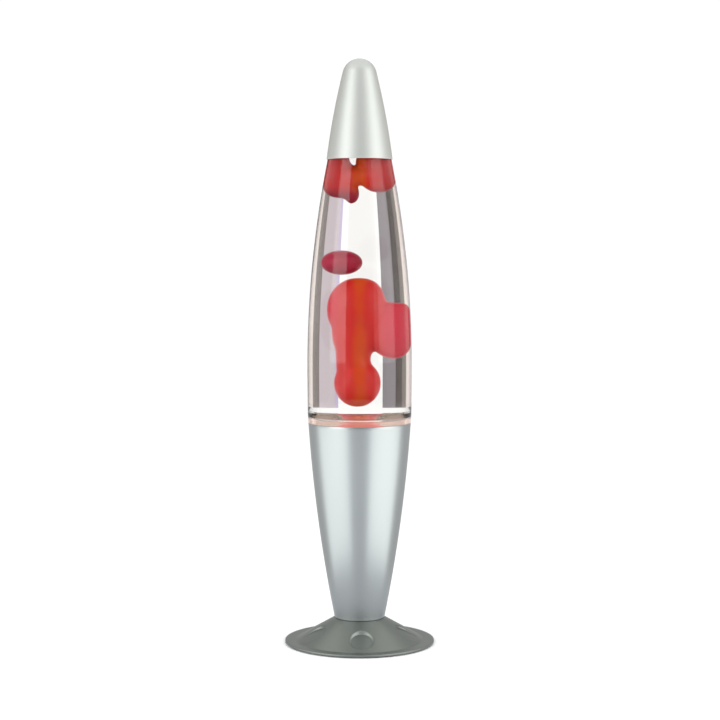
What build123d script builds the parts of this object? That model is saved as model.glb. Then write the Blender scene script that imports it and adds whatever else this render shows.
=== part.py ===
"""Lava lamp: a glass bottle of liquid and wax on a spun metal base, with a reflector bulb below it.

Millimetres, +Z up. The origin is the centre of the floor under the lamp, and the front is -Y.
The lamp is a stack: rubber pads, foot, cone body, seat ring, bottle and cap. Each piece starts
where the piece under it ends, so a changed height or radius carries through to its neighbours.
"""
from build123d import *
import math
import os

# ---- Sheet, glass and fits -----------------------------------------------------------------
foot_sheet = 0.8          # steel sheet of the foot
body_sheet = 0.8          # aluminium sheet of the cone body
cap_sheet = 0.6           # aluminium sheet of the cap
cover_sheet = 0.6         # steel sheet of the bottom cover
glass_wall = 2.6          # bottle side wall
glass_floor = 4.0         # bottle bottom
slip_gap = 0.3            # between pieces that lift out of each other
close_gap = 0.1           # between pieces that stay put, and between liquid and glass
wax_gap = 0.4             # liquid left clear round each piece of wax

# ---- Foot ----------------------------------------------------------------------------------
pad_height = 0.8
pad_r = 5.0
pad_ring_r = 45.0
pad_count = 4
foot_r = 54.0             # rim
foot_slope_r = 46.0       # where the flat flange turns up into the slope
neck_r = 18.2             # top of the foot, and bottom of the cone body
foot_height = 18.3        # floor to the top of the foot
pocket_count = 5
pocket_r = 8.3
pocket_ring_r = 35.0
pocket_depth = 2.0        # at the uphill edge
pocket_low_depth = 0.3    # at the downhill edge
pocket_turn = 2.5         # first pocket, in degrees round from the front
pad_turn = 45.0           # first pad, in degrees

# ---- Cone body -----------------------------------------------------------------------------
body_height = 141.8
mouth_r = 36.9            # top of the cone body
body_bulge = 2.3          # how far the side stands out from a straight cone
bushing_height = 13.0     # cord bushing above the top of the foot
bushing_bore_r = 2.6
bushing_wall = 1.2
bushing_flange = 1.4
bushing_flange_height = 1.2
bushing_length = 6.4

# ---- Seat ring -----------------------------------------------------------------------------
ring_height = 3.8         # the part seen between body and bottle
ring_skirt = 10.0         # the part inside the mouth
ring_wall = 1.5
ring_edge = 0.4           # rounding at the top of the rim
skirt_room = 0.23         # between the foot of the skirt and the leaning side of the body

# ---- Bottle --------------------------------------------------------------------------------
bottle_height = 184.6     # top of the seat ring to the lower edge of the cap
bottle_heel_r = mouth_r + 0.4
bottle_max_r = bottle_heel_r + 0.3
bottle_max_height = 36.1  # widest level above the seat ring
bottle_shoulder_r = 22.9  # at the lower edge of the cap
plug_depth = 15.5         # part of the bottle below its shoulder
shoulder_height = 19.5    # lower edge of the cap to the neck
bottle_neck_r = 12.6
neck_height = 8.0
bead_r = bottle_neck_r + 0.7
bead_height = 7.0
bead_round = 1.2
bore_r = bottle_neck_r - 4.1
heel_round = 1.0          # outer edge that sits on the seat ring
cavity_corner = 3.0       # inside, between floor and side
air_height = 28.0         # top of the liquid to the top of the neck

# ---- Closure and cap -----------------------------------------------------------------------
liner_height = 0.7
closure_sheet = 0.4
closure_skirt = 5.8
closure_flare = 1.9
cap_r = bottle_shoulder_r + 0.7  # lower edge
cap_height = 71.5         # lower edge to the top
cap_tip_r = 12.4          # rounded top
cap_bulge = 0.9
cap_ring_height = 4.0
cap_ring_bore_r = 9.0

# ---- Tie tube and what is on it ------------------------------------------------------------
tube_r = 5.0
tube_bore_r = 3.6
tube_reach = 4.0          # how far the tube stands into the lampholder
nut_across = 14.0
nut_height = 3.6
washer_r = 9.0
washer_height = 1.0
tag_height = 0.8
tag_reach = 15.0
ballast_top_r = neck_r - 2.2
ballast_low_r = neck_r + 5.3
ballast_edge = 1.5
tag_width = 5.0
tag_hole_r = 1.2
pan_r = 13.0              # raised middle of the bottom cover
vent_r = 2.0
vent_ring_r = 30.0
vent_count = 8

# ---- Lampholder ----------------------------------------------------------------------------
holder_height = 22.0      # top of the foot to the underside of the lampholder
holder_r = 14.0
holder_wall = 1.8
holder_cap_height = 17.0
holder_floor = 3.0
core_height = 9.0
sleeve_height = 18.0
sleeve_wall = 0.4
screw_r = 1.6
screw_length = 6.0
screw_head_height = 1.6
screw_slot = 0.6
screw_ring_r = 8.8
contact_width = 3.0

# ---- Bulb ----------------------------------------------------------------------------------
bulb_length = 67.0
bulb_r = 19.5
bulb_wall = 0.8
screw_shell_r = 6.5
bulb_neck_r = screw_shell_r - 0.4
bulb_flare = 0.62         # share of the widest radius reached part of the way up the flare
bulb_flare_level = 0.44   # share of the way from the neck to the widest level
bulb_face = 0.72          # share of the widest radius where the face begins
bulb_wide_drop = 13.0     # widest level below the top
bulb_face_drop = 3.6      # edge of the face below the top
thread_pitch = 2.82       # E14
thread_turns = 5
thread_r = 0.5
shell_height = 19.0
shell_sheet = 0.3
tip_height = 1.6
tip_r = 2.4
insulator_height = 3.0
stem_r = 2.0
wire_r = 0.25
filament_r = 0.3
filament_bow = 2.5

# ---- Inside the bottle ---------------------------------------------------------------------
coil_ring_r = mouth_r - 12.9
coil_r = 2.4
coil_lift = 0.8           # coil clear of the bottle's floor
pool_r = coil_ring_r - 4.5
pool_height = 10.0

# ---- Wax: places from the axis, levels above the seat ring, radii and half heights ----------
# They were drawn for one size of bottle, and follow it when its height or radius changes.
drawn_height = 184.6
drawn_r = 37.6
drawn_shoulder_r = 22.9
upper_left_x, upper_left_level, upper_left_r, upper_left_half = -10.4, 170.6, 9.6, 16.5
upper_right_x, upper_right_level, upper_right_r, upper_right_half = 10.2, 176.1, 10.0, 14.5
oval_x, oval_level, oval_r, oval_half = -9.7, 110.1, 11.0, 8.6
side_x, side_level, side_r, side_half = 23.4, 63.0, 10.4, 20.0
column_x = -2.6
column_low, column_top = 8.1, 99.6
column_bulb_r, column_bulb_level = 12.4, 24.8
column_waist_r, column_waist_level = 9.2, 44.0
column_head_r, column_head_level = 14.6, 76.0
tall = bottle_height / drawn_height
wide = bottle_max_r / drawn_r
wide_top = bottle_shoulder_r / drawn_shoulder_r

# ---- Levels worked out from the stack ------------------------------------------------------
body_z = foot_height
mouth_z = body_z + body_height
seat_z = mouth_z + ring_height
bottle_low_z = seat_z - plug_depth
cap_z = seat_z + bottle_height
bottle_neck_z = cap_z + shoulder_height
lip_z = bottle_neck_z + neck_height + bead_height
closure_top_z = lip_z + liner_height + closure_sheet
top_z = cap_z + cap_height
liquid_top_z = lip_z - air_height
cavity_low_z = bottle_low_z + glass_floor
cover_z = pad_height
flange_z = cover_z + cover_sheet
slope_low_z = flange_z + foot_sheet
plate_z = body_z - foot_sheet
pan_z = cover_z + nut_height + 0.4
ballast_z = pan_z + cover_sheet + nut_height + washer_height
holder_z = body_z + holder_height
core_z = holder_z + holder_cap_height
sleeve_z = core_z + core_height
bulb_z = sleeve_z + 1.0
tube_low_z = cover_z + 0.2
tube_top_z = holder_z + holder_floor + tube_reach

# ---- Radii worked out from the fits --------------------------------------------------------
mouth_lean = (mouth_r - neck_r - 4 * body_bulge) / body_height
# the width of the lip turned in round the mouth, to a hundredth as it would be drawn
mouth_lip = round(body_sheet + ring_skirt * mouth_lean + skirt_room, 2)
ring_lip_r = mouth_r - mouth_lip
ring_out_r = ring_lip_r - close_gap
ring_in_r = ring_out_r - ring_wall
plug_r = ring_in_r - slip_gap
tube_hole_r = tube_r + close_gap
sleeve_bore_r = screw_shell_r + thread_r + close_gap
cover_r = foot_r - foot_sheet - close_gap
far = 2.0 * (foot_r + top_z)


# ---- Helpers -------------------------------------------------------------------------------
def outline(*edges):
    """Closed face from edges drawn with x as radius and y as height."""
    return make_face(Curve() + list(edges))


def turned(face):
    """Solid of revolution about the vertical axis."""
    return revolve(Plane.XZ * face, axis=Axis.Z)


def drop(radius, half_height):
    """An upright ellipsoid with a round plan."""
    pull = 0.5523         # makes a quarter curve follow an ellipse
    low = Bezier((0, -half_height), (pull * radius, -half_height), (radius, -pull * half_height), (radius, 0))
    high = Bezier((radius, 0), (radius, pull * half_height), (pull * radius, half_height), (0, half_height))
    return turned(outline(low, high, Line((0, half_height), (0, -half_height))))


def slab(low_z, high_z):
    """A block wider than the lamp between two heights."""
    return Pos(0, 0, (low_z + high_z) / 2) * Box(far, far, high_z - low_z)


def ring(inner_r, outer_r, low_z, high_z):
    """A plain tube or washer between two heights."""
    return turned(Pos((inner_r + outer_r) / 2, (low_z + high_z) / 2)
                  * Rectangle(outer_r - inner_r, high_z - low_z))


def disc(radius, low_z, high_z):
    """A plain cylinder between two heights."""
    return Pos(0, 0, (low_z + high_z) / 2) * Cylinder(radius, high_z - low_z)


def around(count, radius, solid, start=0.0):
    """Copies of a solid spaced evenly on a circle."""
    return [Rot(0, 0, start + 360.0 * i / count) * Pos(radius, 0, 0) * solid for i in range(count)]


def bulged(low, high, bulge):
    """Arc between two points of an outline, bulging away from the axis."""
    dx = high[0] - low[0]
    dy = high[1] - low[1]
    run = math.hypot(dx, dy)
    middle = ((low[0] + high[0]) / 2 + bulge * dy / run, (low[1] + high[1]) / 2 - bulge * dx / run)
    return ThreePointArc(low, middle, high)


def upright_arc_r(max_r, level, through, z):
    """Radius at height z of an arc that is upright at level and passes a second point."""
    drop = max_r - through[0]
    rise = through[1] - level
    arc = (rise * rise + drop * drop) / (2 * drop)
    return max_r - arc + math.sqrt(arc * arc - (z - level) ** 2)


# ---- Foot and what closes it ---------------------------------------------------------------
def foot_outline():
    """Filled outline of the foot's outside."""
    return outline(
        Polyline((0, cover_z), (foot_r, cover_z), (foot_r, slope_low_z), (foot_slope_r, slope_low_z),
                 (neck_r, foot_height), (0, foot_height), (0, cover_z)))


def foot():
    """Spun steel foot: a flat flange with a turned-down hem, a slope, and five pressed pockets."""
    slope = math.atan2(foot_height - slope_low_z, foot_slope_r - neck_r)
    under_r = foot_sheet * math.tan(slope / 2)
    outside = turned(foot_outline())
    inside = turned(outline(
        Polyline((0, cover_z - 1), (foot_r - foot_sheet, cover_z - 1), (foot_r - foot_sheet, flange_z),
                 (foot_slope_r - under_r, flange_z), (neck_r - under_r, plate_z), (0, plate_z), (0, cover_z - 1))))
    low_r = pocket_ring_r + pocket_r
    high_r = pocket_ring_r - pocket_r
    low_z = slope_low_z + (foot_slope_r - low_r) * math.tan(slope) - pocket_low_depth
    high_z = slope_low_z + (foot_slope_r - high_r) * math.tan(slope) - pocket_depth
    tilt = math.degrees(math.atan2(high_z - low_z, low_r - high_r))
    for i in range(pocket_count):
        turn = Rot(0, 0, -90 + pocket_turn + 360.0 * i / pocket_count)
        above = Rot(0, tilt, 0) * Pos(0, 0, far / 2) * Box(far, far, far)
        hole = Pos(pocket_ring_r, 0, 0) * Cylinder(pocket_r, far)
        wall = Pos(pocket_ring_r, 0, 0) * Cylinder(pocket_r + foot_sheet, far)
        outside = outside - turn * (hole & Pos(low_r, 0, low_z) * above)
        inside = inside - turn * (wall & Pos(low_r, 0, low_z - foot_sheet) * above)
    return outside - inside - disc(tube_hole_r, plate_z - 1, foot_height + 1)


def bottom_cover():
    """Dished cover plate inside the hem, with vents and a raised middle for its nut."""
    wide = ring(pan_r - cover_sheet, cover_r, cover_z, cover_z + cover_sheet)
    wall = ring(pan_r - cover_sheet, pan_r, cover_z, pan_z + cover_sheet)
    pan = ring(tube_hole_r, pan_r, pan_z, pan_z + cover_sheet)
    vents = around(vent_count, vent_ring_r, disc(vent_r, cover_z - 1, cover_z + 2))
    return wide + wall + pan - vents


def rubber_pads():
    """Pads the lamp stands on, stuck under the cover."""
    return Compound(around(pad_count, pad_ring_r, disc(pad_r, 0, pad_height), pad_turn))


def ballast():
    """Cast ring that keeps the lamp upright."""
    return turned(outline(
        Polyline((tube_hole_r, ballast_z), (ballast_low_r, ballast_z), (ballast_low_r, ballast_z + ballast_edge),
                 (ballast_top_r, plate_z), (tube_hole_r, plate_z), (tube_hole_r, ballast_z))))


# ---- Cone body, seat ring and bushing ------------------------------------------------------
def body_outline(wall=0.0):
    """Filled outline of the cone body, moved in by a wall at its floor and side."""
    low = (neck_r - wall, body_z + wall)
    high = (mouth_r - wall, mouth_z)
    return outline(Line((0, low[1]), low), bulged(low, high, body_bulge), Line(high, (0, mouth_z)),
                   Line((0, mouth_z), (0, low[1])))


def bushing_place():
    """Middle of the cord's hole in the back of the cone body, square to the wall."""
    share = bushing_height / body_height
    side = neck_r + (mouth_r - neck_r) * share + 4 * body_bulge * share * (1 - share)
    lean = (mouth_r - neck_r + 4 * body_bulge * (1 - 2 * share)) / body_height
    return Pos(0, side - body_sheet / 2, body_z + bushing_height) * Rot(-90 - math.degrees(math.atan(lean)), 0, 0)


def cone_body():
    """Spun aluminium body, open at the mouth, with a lip to carry the seat ring."""
    sheet = turned(body_outline() - body_outline(body_sheet))
    lip = ring(ring_lip_r, mouth_r - body_sheet / 2, mouth_z - body_sheet, mouth_z)
    cord_hole = bushing_place() * Cylinder(bushing_bore_r + bushing_wall + close_gap, 2 * bushing_length)
    return sheet + lip - disc(tube_hole_r, 0, body_z + 2) - cord_hole


def cord_bushing():
    """Flanged plastic bushing that lines the cord's hole."""
    neck = Cylinder(bushing_bore_r + bushing_wall, bushing_length)
    flange = Cylinder(bushing_bore_r + bushing_wall + bushing_flange, bushing_flange_height)
    reach = (bushing_length - bushing_flange_height) / 2
    outside = Pos(0, 0, reach) * flange
    inside = Pos(0, 0, -reach) * flange
    return bushing_place() * (neck + outside + inside - Cylinder(bushing_bore_r, 2 * bushing_length))


def seat_ring():
    """Translucent ring: a rim seen between body and bottle, and a skirt inside the mouth."""
    start = (bottle_heel_r, seat_z - ring_edge)
    middle = (bottle_heel_r - 0.3 * ring_edge, seat_z - 0.3 * ring_edge)
    end = (bottle_heel_r - ring_edge, seat_z)
    rim = outline(
        Line((ring_in_r, mouth_z), (mouth_r, mouth_z)), Line((mouth_r, mouth_z), start),
        ThreePointArc(start, middle, end), Line(end, (ring_in_r, seat_z)), Line((ring_in_r, seat_z), (ring_in_r, mouth_z)))
    return turned(rim) + ring(ring_in_r, ring_out_r, mouth_z - ring_skirt, mouth_z)


# ---- Bottle and what closes it -------------------------------------------------------------
def bottle_side(wall, start_z):
    """Edges of the bottle's side from a height above its shoulder up to the neck and in to the axis."""
    wide_z = seat_z + bottle_max_height
    shoulder = (bottle_shoulder_r, cap_z)
    heel = (bottle_heel_r, seat_z)
    low_z = (start_z + wide_z) / 2
    high_z = (wide_z + cap_z) / 2
    low = (upright_arc_r(bottle_max_r, wide_z, heel, low_z) - wall, low_z)
    high = (upright_arc_r(bottle_max_r, wide_z, shoulder, high_z) - wall, high_z)
    start = (upright_arc_r(bottle_max_r, wide_z, heel, start_z) - wall, start_z)
    wide = (bottle_max_r - wall, wide_z)
    top = (bottle_shoulder_r - wall, cap_z)
    lean = (bottle_shoulder_r - upright_arc_r(bottle_max_r, wide_z, shoulder, cap_z - 1.0), 1.0)
    neck = (bottle_neck_r - wall, bottle_neck_z)
    return [ThreePointArc(start, low, wide), ThreePointArc(wide, high, top),
            Spline(top, neck, tangents=(lean, (0, 1))), Line(neck, (0, bottle_neck_z))]


def bottle_outline():
    """Filled outline of the bottle's outside, from its plug to the neck."""
    heel = heel_round
    side = bottle_side(0.0, seat_z + heel)
    start = side[0] @ 0
    base = bottle_low_z + 3 * heel
    return outline(
        Line((0, bottle_low_z), (plug_r - 3 * heel, bottle_low_z)),
        ThreePointArc((plug_r - 3 * heel, bottle_low_z), (plug_r - 0.88 * heel, base - 2.12 * heel), (plug_r, base)),
        Line((plug_r, base), (plug_r, seat_z)), Line((plug_r, seat_z), (start.X - heel, seat_z)),
        ThreePointArc((start.X - heel, seat_z), (start.X - 0.29 * heel, seat_z + 0.29 * heel), start),
        *side, Line((0, bottle_neck_z), (0, bottle_low_z)))


def cavity_outline(extra=0.0):
    """Filled outline of the inside of the bottle up to the neck, moved in by a further gap."""
    wall = glass_wall + extra
    side = bottle_side(wall, seat_z + 2 * glass_wall)
    start = side[0] @ 0
    low_z = cavity_low_z + extra
    corner = cavity_corner
    low_r = plug_r - wall
    bend = (low_r - 0.29 * corner, low_z + 0.29 * corner)
    return outline(
        Line((0, low_z), (low_r - corner, low_z)),
        ThreePointArc((low_r - corner, low_z), bend, (low_r, low_z + corner)),
        Line((low_r, low_z + corner), (low_r, seat_z + extra)), Line((low_r, seat_z + extra), start),
        *side, Line((0, bottle_neck_z), (0, low_z)))


def bottle():
    """Blown glass bottle with a thick floor, a narrow neck and a bead for the closure."""
    neck = disc(bottle_neck_r, bottle_neck_z, lip_z)
    bead = disc(bead_r, lip_z - bead_height, lip_z)
    bead = fillet(bead.edges().filter_by(GeomType.CIRCLE), bead_round)
    bore = disc(bore_r, bottle_neck_z - 2 * glass_wall, lip_z + 1)
    return turned(bottle_outline() - cavity_outline()) + neck + bead - bore


def closure_liner():
    """Soft disc that seals the lip."""
    return disc(bead_r - close_gap, lip_z, lip_z + liner_height)


def closure():
    """Pressed steel closure, flaring out below the bead."""
    grip_r = bead_r + close_gap
    skirt_z = closure_top_z - closure_skirt
    return turned(outline(
        Polyline((0, lip_z + liner_height), (grip_r, lip_z + liner_height), (grip_r, skirt_z + 2),
                 (grip_r + closure_flare, skirt_z), (grip_r + closure_flare + closure_sheet, skirt_z),
                 (grip_r + closure_sheet, skirt_z + 2.4), (grip_r + closure_sheet, closure_top_z),
                 (0, closure_top_z), (0, lip_z + liner_height))))


# ---- Wax, coil and liquid ------------------------------------------------------------------
# Each piece takes a growth, so that the liquid can be cut clear of the same shape.
def wax_upper_left(grow=0.0):
    """Left lobe of the wax under the shoulder of the bottle."""
    place = Pos(upper_left_x * wide_top, 0, seat_z + upper_left_level * tall)
    return place * drop(upper_left_r * wide_top + grow, upper_left_half * tall + grow)


def wax_upper_right(grow=0.0):
    """Right lobe of the same mass, ending a little higher."""
    place = Pos(upper_right_x * wide_top, 0, seat_z + upper_right_level * tall)
    return place * drop(upper_right_r * wide_top + grow, upper_right_half * tall + grow)


def wax_oval(grow=0.0):
    """A free flattened bubble."""
    return Pos(oval_x * wide, 0, seat_z + oval_level * tall) * drop(oval_r * wide + grow, oval_half * tall + grow)


def wax_column(grow=0.0):
    """A tall column over the coil, with a waist near the bottom."""
    low = (0, seat_z + column_low * tall - grow)
    high = (0, seat_z + column_top * tall + grow)
    bulb = (column_bulb_r * wide + grow, seat_z + column_bulb_level * tall)
    waist = (column_waist_r * wide + grow, seat_z + column_waist_level * tall)
    head = (column_head_r * wide + grow, seat_z + column_head_level * tall)
    side = Spline(low, bulb, waist, head, high, tangents=((1, 0), (0, 1), (0, 1), (0, 1), (-1, 0)))
    return Pos(column_x * wide, 0, 0) * turned(outline(side, Line(high, low)))


def wax_side(grow=0.0):
    """A lobe at the column's right."""
    return Pos(side_x * wide, 0, seat_z + side_level * tall) * drop(side_r * wide + grow, side_half * tall + grow)


def wax_pool(grow=0.0):
    """Wax left lying inside the coil on the bottle's floor."""
    base_z = cavity_low_z + close_gap
    dome_r = (pool_r ** 2 + pool_height ** 2) / (2 * pool_height)
    dome = Pos(0, 0, base_z + pool_height - dome_r) * Sphere(dome_r + grow)
    return dome & slab(base_z - grow, base_z + 2 * pool_height)


def heat_coil(grow=0.0):
    """Ring of coiled wire that warms the wax, as the plain torus its turns fill."""
    return Pos(0, 0, cavity_low_z + coil_lift + coil_r) * Torus(coil_ring_r, coil_r + grow)


def liquid():
    """Clear liquid, with room left round the wax and the coil."""
    filled = turned(cavity_outline(close_gap)) & slab(cavity_low_z, liquid_top_z)
    for piece in (wax_upper_left, wax_upper_right, wax_oval, wax_column, wax_side, wax_pool):
        filled = filled - piece(wax_gap)
    return filled - heat_coil(2 * close_gap)


# ---- Cap -----------------------------------------------------------------------------------
def cap_outline(wall=0.0):
    """Filled outline of the cap, moved in by a wall everywhere but at its open lower edge."""
    centre_z = top_z - cap_tip_r
    tip_r = cap_tip_r - wall
    lean = math.atan2(cap_r - cap_tip_r, centre_z - cap_z)
    half = (math.radians(90) + lean) / 2
    low = (cap_r - wall, cap_z)
    start = (tip_r * math.cos(lean), centre_z + tip_r * math.sin(lean))
    middle = (tip_r * math.cos(half), centre_z + tip_r * math.sin(half))
    tip = (0, centre_z + tip_r)
    return outline(Line((0, cap_z), low), bulged(low, start, cap_bulge), ThreePointArc(start, middle, tip),
                   Line(tip, (0, cap_z)))


def cap():
    """Spun aluminium cap that drops over the neck."""
    return turned(cap_outline() - cap_outline(cap_sheet))


def cap_ring():
    """Felt ring inside the cap that sits on the closure."""
    room = turned(cap_outline(cap_sheet + close_gap))
    return (room & slab(closure_top_z, closure_top_z + cap_ring_height)) - disc(cap_ring_bore_r, 0, top_z)


# ---- Tie tube and lampholder ---------------------------------------------------------------
def tie_tube():
    """Tube that ties cover, ballast, foot, body and lampholder together."""
    return ring(tube_bore_r, tube_r, tube_low_z, tube_top_z)


def hex_nut(low_z):
    """One nut, bored to the tube."""
    blank = extrude(RegularPolygon(nut_across / 2, 6, major_radius=False), nut_height)
    return Pos(0, 0, low_z) * blank - disc(tube_hole_r, 0, far)


tag_z = body_z + body_sheet + washer_height


def tie_nuts():
    """Nuts under the cover, under the ballast and on top of the body's floor."""
    levels = (pan_z - nut_height, pan_z + cover_sheet, tag_z + tag_height)
    return Compound([hex_nut(z) for z in levels])


def tie_washers():
    """Washers under the ballast and on the body's floor."""
    low = ring(tube_hole_r, washer_r, ballast_z - washer_height, ballast_z)
    return Compound([low, ring(tube_hole_r, washer_r, tag_z - washer_height, tag_z)])


def earth_tag():
    """Brass tag under the upper nut, with a tail for the earth wire."""
    eye = disc(washer_r - 0.5, tag_z, tag_z + tag_height)
    tail = Pos(tag_reach / 2, 0, tag_z + tag_height / 2) * Box(tag_reach, tag_width, tag_height)
    return eye + tail - disc(tube_hole_r, 0, far) - Pos(tag_reach - tag_width / 2, 0, 0) * disc(tag_hole_r, 0, far)


def holder_cap():
    """Lower half of the lampholder, on the tie tube."""
    cup = disc(holder_r, holder_z, core_z)
    room = disc(holder_r - holder_wall, holder_z + holder_floor, core_z + 1)
    return cup - room - disc(tube_hole_r, 0, far)


def holder_shell():
    """Upper half of the lampholder, round the core and the contact sleeve."""
    lip_r = sleeve_bore_r + sleeve_wall + close_gap
    shell_top_z = sleeve_z + sleeve_height + 1
    wall = ring(holder_r - holder_wall, holder_r, core_z, shell_top_z)
    collar = ring(lip_r, holder_r, shell_top_z - 4, shell_top_z)
    return wall + collar


def holder_core():
    """Insulating core that carries the contacts and terminals."""
    core = disc(holder_r - holder_wall - close_gap, core_z, sleeve_z)
    holes = around(2, screw_ring_r, disc(screw_r + close_gap, core_z - 1, sleeve_z + 1), 90)
    return core - holes


def contact_sleeve():
    """Brass sleeve round the bulb's screw shell, with a floor round the middle contact."""
    tube = ring(sleeve_bore_r, sleeve_bore_r + sleeve_wall, sleeve_z, sleeve_z + sleeve_height)
    return tube + ring(tip_r + 2, sleeve_bore_r + sleeve_wall, sleeve_z, sleeve_z + sleeve_wall)


def centre_contact():
    """Bent brass leaf under the bulb's tip."""
    return Pos(0, 0, (sleeve_z + bulb_z) / 2) * Box(2 * tip_r, contact_width, bulb_z - sleeve_z)


def terminal_screws():
    """Two slotted screws that clamp the leads, from below the core."""
    shank = disc(screw_r, core_z, core_z + screw_length)
    head = disc(2 * screw_r - 0.6, core_z - screw_head_height, core_z)
    slot = Pos(0, 0, core_z - screw_head_height) * Box(far, screw_slot, screw_head_height)
    return Compound(around(2, screw_ring_r, shank + (head - slot), 90))


# ---- Bulb ----------------------------------------------------------------------------------
shell_z = bulb_z + tip_height + insulator_height - 1.4
glass_z = shell_z + shell_height


def bulb_outline(wall=0.0):
    """Filled outline of the envelope, moved in by a wall."""
    low_z = shell_z + 6 - wall
    wide_z = bulb_z + bulb_length - bulb_wide_drop
    flare = (bulb_flare * bulb_r - wall, glass_z + bulb_flare_level * (wide_z - glass_z) + 0.7 * wall)
    face = (bulb_face * bulb_r - wall / 2, bulb_z + bulb_length - bulb_face_drop - wall)
    side = (bulb_r - 1.4 - wall, wide_z + 5.4 - wall / 2)
    neck = (bulb_neck_r - wall, glass_z + wall / 2)
    wide = (bulb_r - wall, wide_z)
    tip = (0, bulb_z + bulb_length - wall)
    return outline(
        Line((0, low_z), (neck[0], low_z)), Line((neck[0], low_z), neck), ThreePointArc(neck, flare, wide),
        ThreePointArc(wide, side, face), TangentArc(tip, face, tangent=(1, 0)), Line(tip, (0, low_z)))


def bulb_glass():
    """Reflector envelope, open at the neck where it is cemented into the screw shell."""
    return turned(bulb_outline() - bulb_outline(bulb_wall))


def bulb_shell():
    """Thin screw shell with a rounded helical thread."""
    tube = ring(screw_shell_r - shell_sheet, screw_shell_r, shell_z, glass_z - 0.5)
    path = Helix(thread_pitch, thread_pitch * thread_turns, screw_shell_r - 0.1)
    section = Plane(path @ 0, z_dir=path % 0) * Circle(thread_r)
    thread = Pos(0, 0, shell_z + 2.2) * sweep(section, path=path, is_frenet=True)
    return tube + thread - disc(screw_shell_r - shell_sheet, shell_z - 1, glass_z)


def bulb_insulator():
    """Black glass plug between the tip and the screw shell."""
    low = Cone(tip_r + 0.4, screw_shell_r - 0.4, insulator_height)
    return Pos(0, 0, bulb_z + tip_height + insulator_height / 2) * low


def bulb_tip():
    """Solder contact at the bulb's end."""
    return disc(tip_r, bulb_z, bulb_z + tip_height)


def bulb_stem():
    """Glass stem that holds the filament's wires."""
    low_z = bulb_z + tip_height + insulator_height
    foot_disc = disc(bulb_neck_r - bulb_wall - 2 * close_gap, low_z + 3, low_z + 6)
    return foot_disc + disc(stem_r, low_z + 6, glass_z + 9)


filament_z = bulb_z + bulb_length - 24
filament_half = 6.0


def bulb_wires():
    """Two supports from the stem's top out to the ends of the filament."""
    wires = []
    for side in (-1, 1):
        start = Vector(side * (stem_r + 0.4), 0, glass_z + 6)
        end = Vector(side * filament_half, 0, filament_z)
        way = end - start
        wires.append(Plane(start, z_dir=way) * Pos(0, 0, way.length / 2) * Cylinder(wire_r, way.length))
    return Compound(wires)


def bulb_filament():
    """Filament between the supports, bowed up in the middle."""
    ends = filament_half - 0.4
    low = filament_z + 0.5
    path = ThreePointArc((-ends, 0, low), (0, 0, low + filament_bow), (ends, 0, low))
    return sweep(Plane(path @ 0, z_dir=path % 0) * Circle(filament_r), path=path)


# ---- Write every piece ---------------------------------------------------------------------
pieces = {
    "foot": foot,
    "bottom_cover": bottom_cover,
    "rubber_pads": rubber_pads,
    "ballast": ballast,
    "cone_body": cone_body,
    "cord_bushing": cord_bushing,
    "seat_ring": seat_ring,
    "tie_tube": tie_tube,
    "tie_nuts": tie_nuts,
    "tie_washers": tie_washers,
    "earth_tag": earth_tag,
    "holder_cap": holder_cap,
    "holder_shell": holder_shell,
    "holder_core": holder_core,
    "contact_sleeve": contact_sleeve,
    "centre_contact": centre_contact,
    "terminal_screws": terminal_screws,
    "bulb_glass": bulb_glass,
    "bulb_shell": bulb_shell,
    "bulb_insulator": bulb_insulator,
    "bulb_tip": bulb_tip,
    "bulb_stem": bulb_stem,
    "bulb_wires": bulb_wires,
    "bulb_filament": bulb_filament,
    "bottle": bottle,
    "closure_liner": closure_liner,
    "closure": closure,
    "liquid": liquid,
    "wax_upper_left": wax_upper_left,
    "wax_upper_right": wax_upper_right,
    "wax_oval": wax_oval,
    "wax_column": wax_column,
    "wax_side": wax_side,
    "wax_pool": wax_pool,
    "heat_coil": heat_coil,
    "cap": cap,
    "cap_ring": cap_ring,
}

os.makedirs("parts", exist_ok=True)
for name, make in pieces.items():
    export_step(make(), "parts/" + name + ".step")
    print("wrote", name)
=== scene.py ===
# %% [markdown]
# # A lava lamp, finished in Blender
# The lamp is already designed as a set of solid parts that stack up on one axis. Here each
# visible part gets the surface and the fine shape that the real thing has. This first cell loads
# the parts.

# %% Load the frame
import bmesh
import bpy
import math
from mathutils import Matrix, Vector


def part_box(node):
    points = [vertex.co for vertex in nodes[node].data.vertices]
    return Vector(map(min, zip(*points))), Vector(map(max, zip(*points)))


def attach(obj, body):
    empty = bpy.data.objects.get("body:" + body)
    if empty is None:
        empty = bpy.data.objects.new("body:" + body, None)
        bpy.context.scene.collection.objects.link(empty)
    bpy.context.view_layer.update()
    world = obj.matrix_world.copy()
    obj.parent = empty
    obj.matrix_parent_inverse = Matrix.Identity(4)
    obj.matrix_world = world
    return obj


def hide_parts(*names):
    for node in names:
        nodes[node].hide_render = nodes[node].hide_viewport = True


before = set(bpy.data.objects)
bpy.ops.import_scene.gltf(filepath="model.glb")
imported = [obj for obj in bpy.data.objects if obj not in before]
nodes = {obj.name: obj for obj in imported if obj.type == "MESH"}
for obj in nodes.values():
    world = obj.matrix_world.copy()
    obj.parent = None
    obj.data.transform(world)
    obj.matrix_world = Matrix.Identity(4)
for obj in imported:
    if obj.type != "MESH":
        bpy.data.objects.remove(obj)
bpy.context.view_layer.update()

mm = 0.001

# %% [markdown]
# The main heights and radii come from the boxes of the parts. A part that is round about the
# lamp's axis only needs its radius and the two heights it runs between, so one small helper reads
# those. Sheet, walls and folds are named where they are used.

# %% Sizes from the frame
def levels(node):
    """Radius, low height and high height of a round part."""
    low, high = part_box(node)
    return high.x, low.z, high.z


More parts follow.
